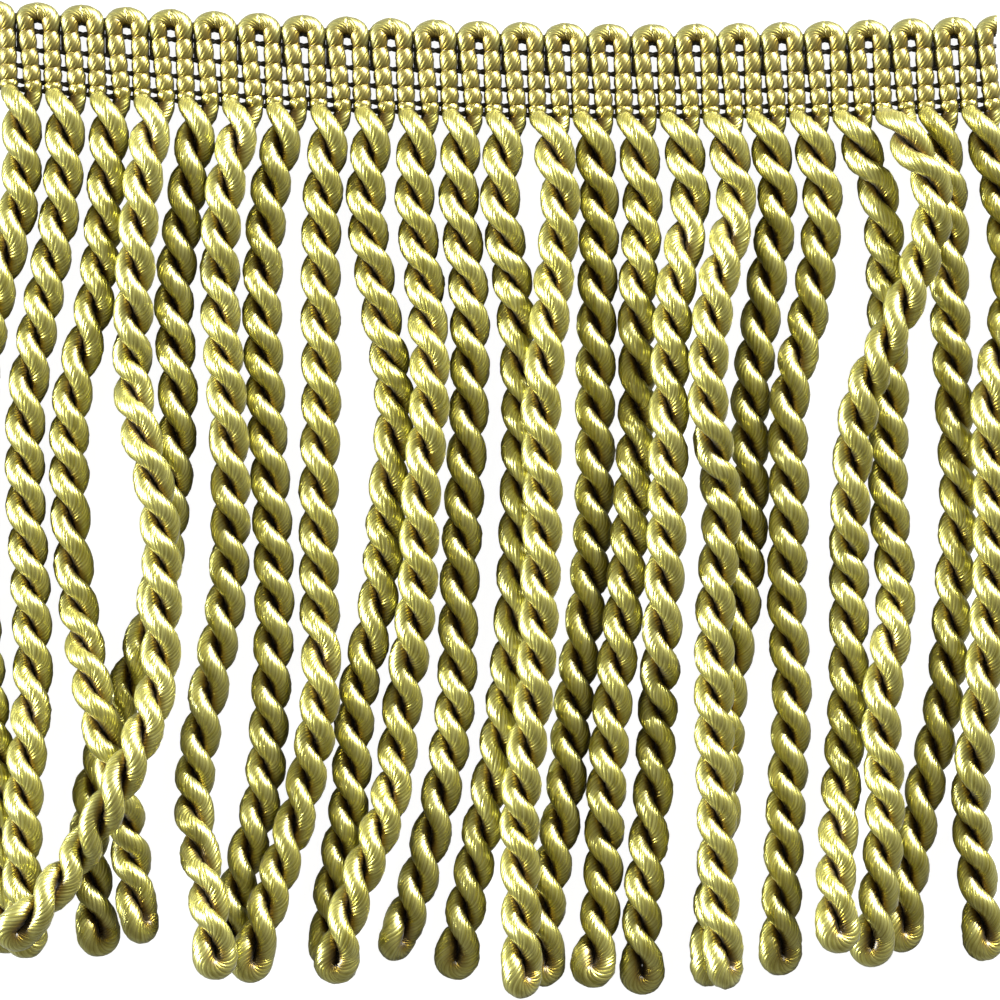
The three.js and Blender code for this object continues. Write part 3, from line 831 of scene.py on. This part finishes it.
def thread_material(colours):
    """Matt black sewing thread of two twisted strands."""
    material, board, shader = new_material("Black sewing thread")
    ridge = board.yarn(THREAD_STRANDS, THREAD_LEAD).outputs["Ridge"]
    # The thread is lighter on its raised twist
    twist_colour = board.blend(ridge, colours.thread, colours.thread_light)
    board.join(twist_colour, shader.inputs["Base Color"])
    board.join(board.bump(ridge, THREAD_BUMP), shader.inputs["Normal"])
    set_inputs(shader, THREAD_FINISH)
    return material


def thread_route(share, twist, sizes):
    """One of two threads that cross in every gap of a row, from one cut end to the other."""
    place = np.linspace(THREAD_END, ARCH_COUNT - 1 - THREAD_END, THREAD_POINTS)
    x = trim_x(place + (share - SPRING_SHARE) / (1 - SPRING_SHARE) * ROW_DRIFT / PITCH)
    phase = 2 * np.pi * place * STITCH_TURNS + twist * np.pi
    y = heading_y(x, share) + sizes.stitch_height * np.sin(phase)
    z = sizes.heading_radius + sizes.stitch_height * np.cos(phase)
    return Route(np.column_stack([x, y, z]), np.full(len(x), sizes.thread_radius))


def cusp_route(sizes):
    """The thread that fills the notch between two arches, up and down from one to the next."""
    points = []
    top, foot = CUSP_SHARES
    for gap in range(ARCH_COUNT - 1):
        place = gap + 0.5 + CUSP_LEAN_SHARE * RIGHT_LEG_LEAN / PITCH
        for side in (-1, 1):
            down = np.linspace(foot, top, CUSP_STEPS)[::-side]
            x = np.full(CUSP_STEPS, trim_x(place) + side * CUSP_SPREAD)
            arched = np.sin(np.linspace(0, np.pi, CUSP_STEPS))
            z = sizes.thread_radius + sizes.heading_radius * mix(CUSP_REST, 1, arched)
            points.append(np.column_stack([x, heading_y(x, down), z]))
    points = np.concatenate(points)
    return Route(points, np.full(len(points), sizes.thread_radius)).even(CUSP_STEP)


def make_sewing(sizes, colours):
    material = thread_material(colours)
    for row, share in enumerate([ARCH_THREAD, *THREAD_ROWS]):
        for twist in range(2):
            name = f"thread_row_{row + 1}_{'ab'[twist]}"
            mesh = tube_mesh(name, thread_route(share, twist, sizes), THREAD_SIDES, THREAD_LEAD)
            make_piece(name, mesh, material, ["heading"])
    mesh = tube_mesh("thread_cusps", cusp_route(sizes), THREAD_SIDES, THREAD_LEAD)
    make_piece("thread_cusps", mesh, material, ["heading"])


def make_strands(sizes, colours):
    rows = [dict(zip(STRAND_COLUMNS, values)) for values in STRAND_ROWS]
    strands = [Strand(index, row, sizes) for index, row in enumerate(rows)]
    settle(strands)
    material = cord_material(colours)
    for strand in strands:
        name = f"strand_{strand.index + 1:02d}"
        mesh = tube_mesh(name, cord_route(strand, sizes), sizes.sides, CORD_LEAD, strand.index)
        write_tone(mesh, strand)
        make_piece(name, mesh, material, ["fringe", "heading"])


def stage_floor(colours):
    """A plain pale floor under the trim."""
    mesh = bpy.data.meshes.new("floor")
    corners = [(-1, -1), (1, -1), (1, 1), (-1, 1)]
    places = [(FLOOR_REACH * x, FLOOR_REACH * y, -FLOOR_DROP * MM) for x, y in corners]
    mesh.from_pydata(places, [], [(0, 1, 2, 3)])
    material, board, shader = new_material("Pale floor")
    shader.inputs["Base Color"].default_value = colours.floor
    set_inputs(shader, FLOOR_FINISH)
    path = board.add("ShaderNodeLightPath")
    glow = board.math("MULTIPLY", path.outputs["Is Camera Ray"], FLOOR_GLOW)
    board.join(glow, shader.inputs["Emission Strength"])
    mesh.materials.append(material)
    floor = bpy.data.objects.new("floor", mesh)
    bpy.context.scene.collection.objects.link(floor)


def area_light(name, place, size, power, colour):
    """A soft box that faces the middle of the trim. Place is in metres from there."""
    light = bpy.data.lights.new(name, "AREA")
    light.shape = "RECTANGLE"
    light.size, light.size_y = size
    light.energy = power
    light.color = colour
    lamp = bpy.data.objects.new(name, light)
    target = Vector((VIEW_X, VIEW_Y, 0)) * MM
    lamp.location = target + Vector(place)
    lamp.rotation_euler = (-Vector(place)).to_track_quat("-Z", "Y").to_euler()
    bpy.context.scene.collection.objects.link(lamp)


def overhead_camera():
    """Looks straight down on the trim and takes in what the photograph does."""
    camera = bpy.data.cameras.new("camera")
    camera.lens = LENS
    camera.sensor_width = SENSOR
    camera.clip_end = SIGHT_LENGTH
    viewer = bpy.data.objects.new("camera", camera)
    viewer.location = Vector((VIEW_X, VIEW_Y, VIEW_WIDTH * LENS / SENSOR)) * MM
    bpy.context.scene.collection.objects.link(viewer)
    bpy.context.scene.camera = viewer


def studio_world():
    world = bpy.data.worlds.new("studio")
    world.use_nodes = True
    background = world.node_tree.nodes["Background"]
    set_inputs(background, {"Color": WORLD_COLOUR, "Strength": WORLD_STRENGTH})
    bpy.context.scene.world = world


class FringeSizes(bpy.types.PropertyGroup):
    """Sizes of the cord and thread, in millimetres"""

    ply_radius: bpy.props.FloatProperty(
        name="Ply radius", description="Radius of the cord in a strand, in millimetres",
        default=1.61, min=0.5, max=4.0)
    full_radius: bpy.props.FloatProperty(
        name="Loop cord radius", description="Radius of the cord in an end loop, in millimetres",
        default=1.95, min=0.5, max=4.0)
    loop_radius: bpy.props.FloatProperty(
        name="Loop radius", description="Radius at which the cord turns back, in millimetres",
        default=1.95, min=1.0, max=6.0)
    half_turn: bpy.props.FloatProperty(
        name="Half turn", description="Length in which the plies change sides, in millimetres",
        default=6.57, min=3.0, max=15.0)
    heading_radius: bpy.props.FloatProperty(
        name="Heading cord radius", description="Radius of the cord in the heading, in millimetres",
        default=1.42, min=0.5, max=3.0)
    foot_radius: bpy.props.FloatProperty(
        name="Foot cord radius", description="Radius of the cord at a leg's foot, in millimetres",
        default=1.5, min=0.5, max=3.0)
    bead_rise: bpy.props.FloatProperty(
        name="Bead rise", description="How far the cord rises between threads, in millimetres",
        default=0.42, min=0.0, max=1.0)
    arch_radius: bpy.props.FloatProperty(
        name="Arch cord radius", description="Radius of the cord in an arch, in millimetres",
        default=1.5, min=0.5, max=3.0)
    pinch_radius: bpy.props.FloatProperty(
        name="Bound cord radius", description="Radius where thread binds the cord, in millimetres",
        default=1.2, min=0.4, max=3.0)
    thread_radius: bpy.props.FloatProperty(
        name="Thread radius", description="Radius of the sewing thread, in millimetres",
        default=0.31, min=0.05, max=0.6)
    stitch_height: bpy.props.FloatProperty(
        name="Stitch height", description="How far crossing threads swing, in millimetres",
        default=0.2, min=0.0, max=1.0)
    ring_step: bpy.props.FloatProperty(
        name="Ring step", description="Distance between rings of the cord's mesh, in millimetres",
        default=0.36, min=0.2, max=2.0)
    sides: bpy.props.IntProperty(
        name="Sides", description="Facets round the cord's mesh", default=16, min=6, max=32)


class FringeColours(bpy.types.PropertyGroup):
    """Colours of the cord, thread and floor, among them the shade painted on the cord"""

    cord_light: bpy.props.FloatVectorProperty(
        name="Light yarn", description="The cord's lighter yarns", subtype="COLOR", size=4,
        default=(0.68, 0.65, 0.21, 1.0), min=0.0, max=1.0)
    cord_dark: bpy.props.FloatVectorProperty(
        name="Dark yarn", description="The cord's darker yarns", subtype="COLOR", size=4,
        default=(0.34, 0.30, 0.015, 1.0), min=0.0, max=1.0)
    # The heading's duller colour, darker with painted shade
    cord_heading_shade: bpy.props.FloatVectorProperty(
        name="Muted yarn", description="The cord where it is bound tight", subtype="COLOR", size=4,
        default=(0.235, 0.222, 0.085, 1.0), min=0.0, max=1.0)
    # Painted shade in the valleys between yarns, and warm painted shade where plies nestle
    cord_groove_shade: bpy.props.FloatVectorProperty(
        name="Groove", description="The cord in its grooves", subtype="COLOR", size=4,
        default=(0.22, 0.145, 0.004, 1.0), min=0.0, max=1.0)
    # Painted shade where two plies meet
    cord_deep_shade: bpy.props.FloatVectorProperty(
        name="Depths", description="The cord where its plies meet", subtype="COLOR", size=4,
        default=(0.09, 0.055, 0.004, 1.0), min=0.0, max=1.0)
    thread: bpy.props.FloatVectorProperty(
        name="Thread", description="The sewing thread", subtype="COLOR", size=4,
        default=(0.02, 0.018, 0.014, 1.0), min=0.0, max=1.0)
    # Lighter colour on the thread's raised twist
    thread_light: bpy.props.FloatVectorProperty(
        name="Raised twist", description="The thread's raised twist", subtype="COLOR", size=4,
        default=(0.06, 0.056, 0.045, 1.0), min=0.0, max=1.0)
    floor: bpy.props.FloatVectorProperty(
        name="Floor", description="The surface under the trim", subtype="COLOR", size=4,
        default=(0.2, 0.2, 0.2, 1.0), min=0.0, max=1.0)


class FRINGE_OT_strands(bpy.types.Operator):
    """Make the cord: every strand with the arches and legs that join it to its neighbours"""

    bl_idname = "fringe.strands"
    bl_label = "Cord strands"

    def execute(self, context):
        make_strands(context.scene.fringe_sizes, context.scene.fringe_colours)
        return {"FINISHED"}


class FRINGE_OT_sewing(bpy.types.Operator):
    """Make the rows of thread that bind the heading"""

    bl_idname = "fringe.sewing"
    bl_label = "Sewing thread"

    def execute(self, context):
        make_sewing(context.scene.fringe_sizes, context.scene.fringe_colours)
        return {"FINISHED"}


class FRINGE_OT_stage(bpy.types.Operator):
    """Set up the camera, the pale floor and the soft light"""

    bl_idname = "fringe.stage"
    bl_label = "Stage"

    def execute(self, context):
        overhead_camera()
        stage_floor(context.scene.fringe_colours)
        studio_world()
        for box in LIGHT_BOXES:
            area_light(*box)
        context.scene.view_settings.view_transform = "Standard"
        return {"FINISHED"}


class FRINGE_PT_panel(bpy.types.Panel):
    """Lists the sizes, the colours and the steps that make the trim"""

    bl_label = "Cord fringe trim"
    bl_idname = "FRINGE_PT_panel"
    bl_space_type = "VIEW_3D"
    bl_region_type = "UI"
    bl_category = "Fringe"

    def draw(self, context):
        for settings in (context.scene.fringe_sizes, context.scene.fringe_colours):
            for name in settings.bl_rna.properties.keys():
                if name not in {"rna_type", "name"}:
                    self.layout.prop(settings, name)
        for operator in OPERATORS:
            self.layout.operator(operator.bl_idname)


OPERATORS = (FRINGE_OT_stage, FRINGE_OT_strands, FRINGE_OT_sewing)
CLASSES = (FringeSizes, FringeColours, *OPERATORS, FRINGE_PT_panel)


def register():
    for cls in CLASSES:
        bpy.utils.register_class(cls)
    bpy.types.Scene.fringe_sizes = bpy.props.PointerProperty(type=FringeSizes)
    bpy.types.Scene.fringe_colours = bpy.props.PointerProperty(type=FringeColours)


def unregister():
    del bpy.types.Scene.fringe_colours
    del bpy.types.Scene.fringe_sizes
    for cls in reversed(CLASSES):
        bpy.utils.unregister_class(cls)


def main():
    register()
    bpy.ops.fringe.stage()
    bpy.ops.fringe.strands()
    bpy.ops.fringe.sewing()


if __name__ == "__main__":
    main()
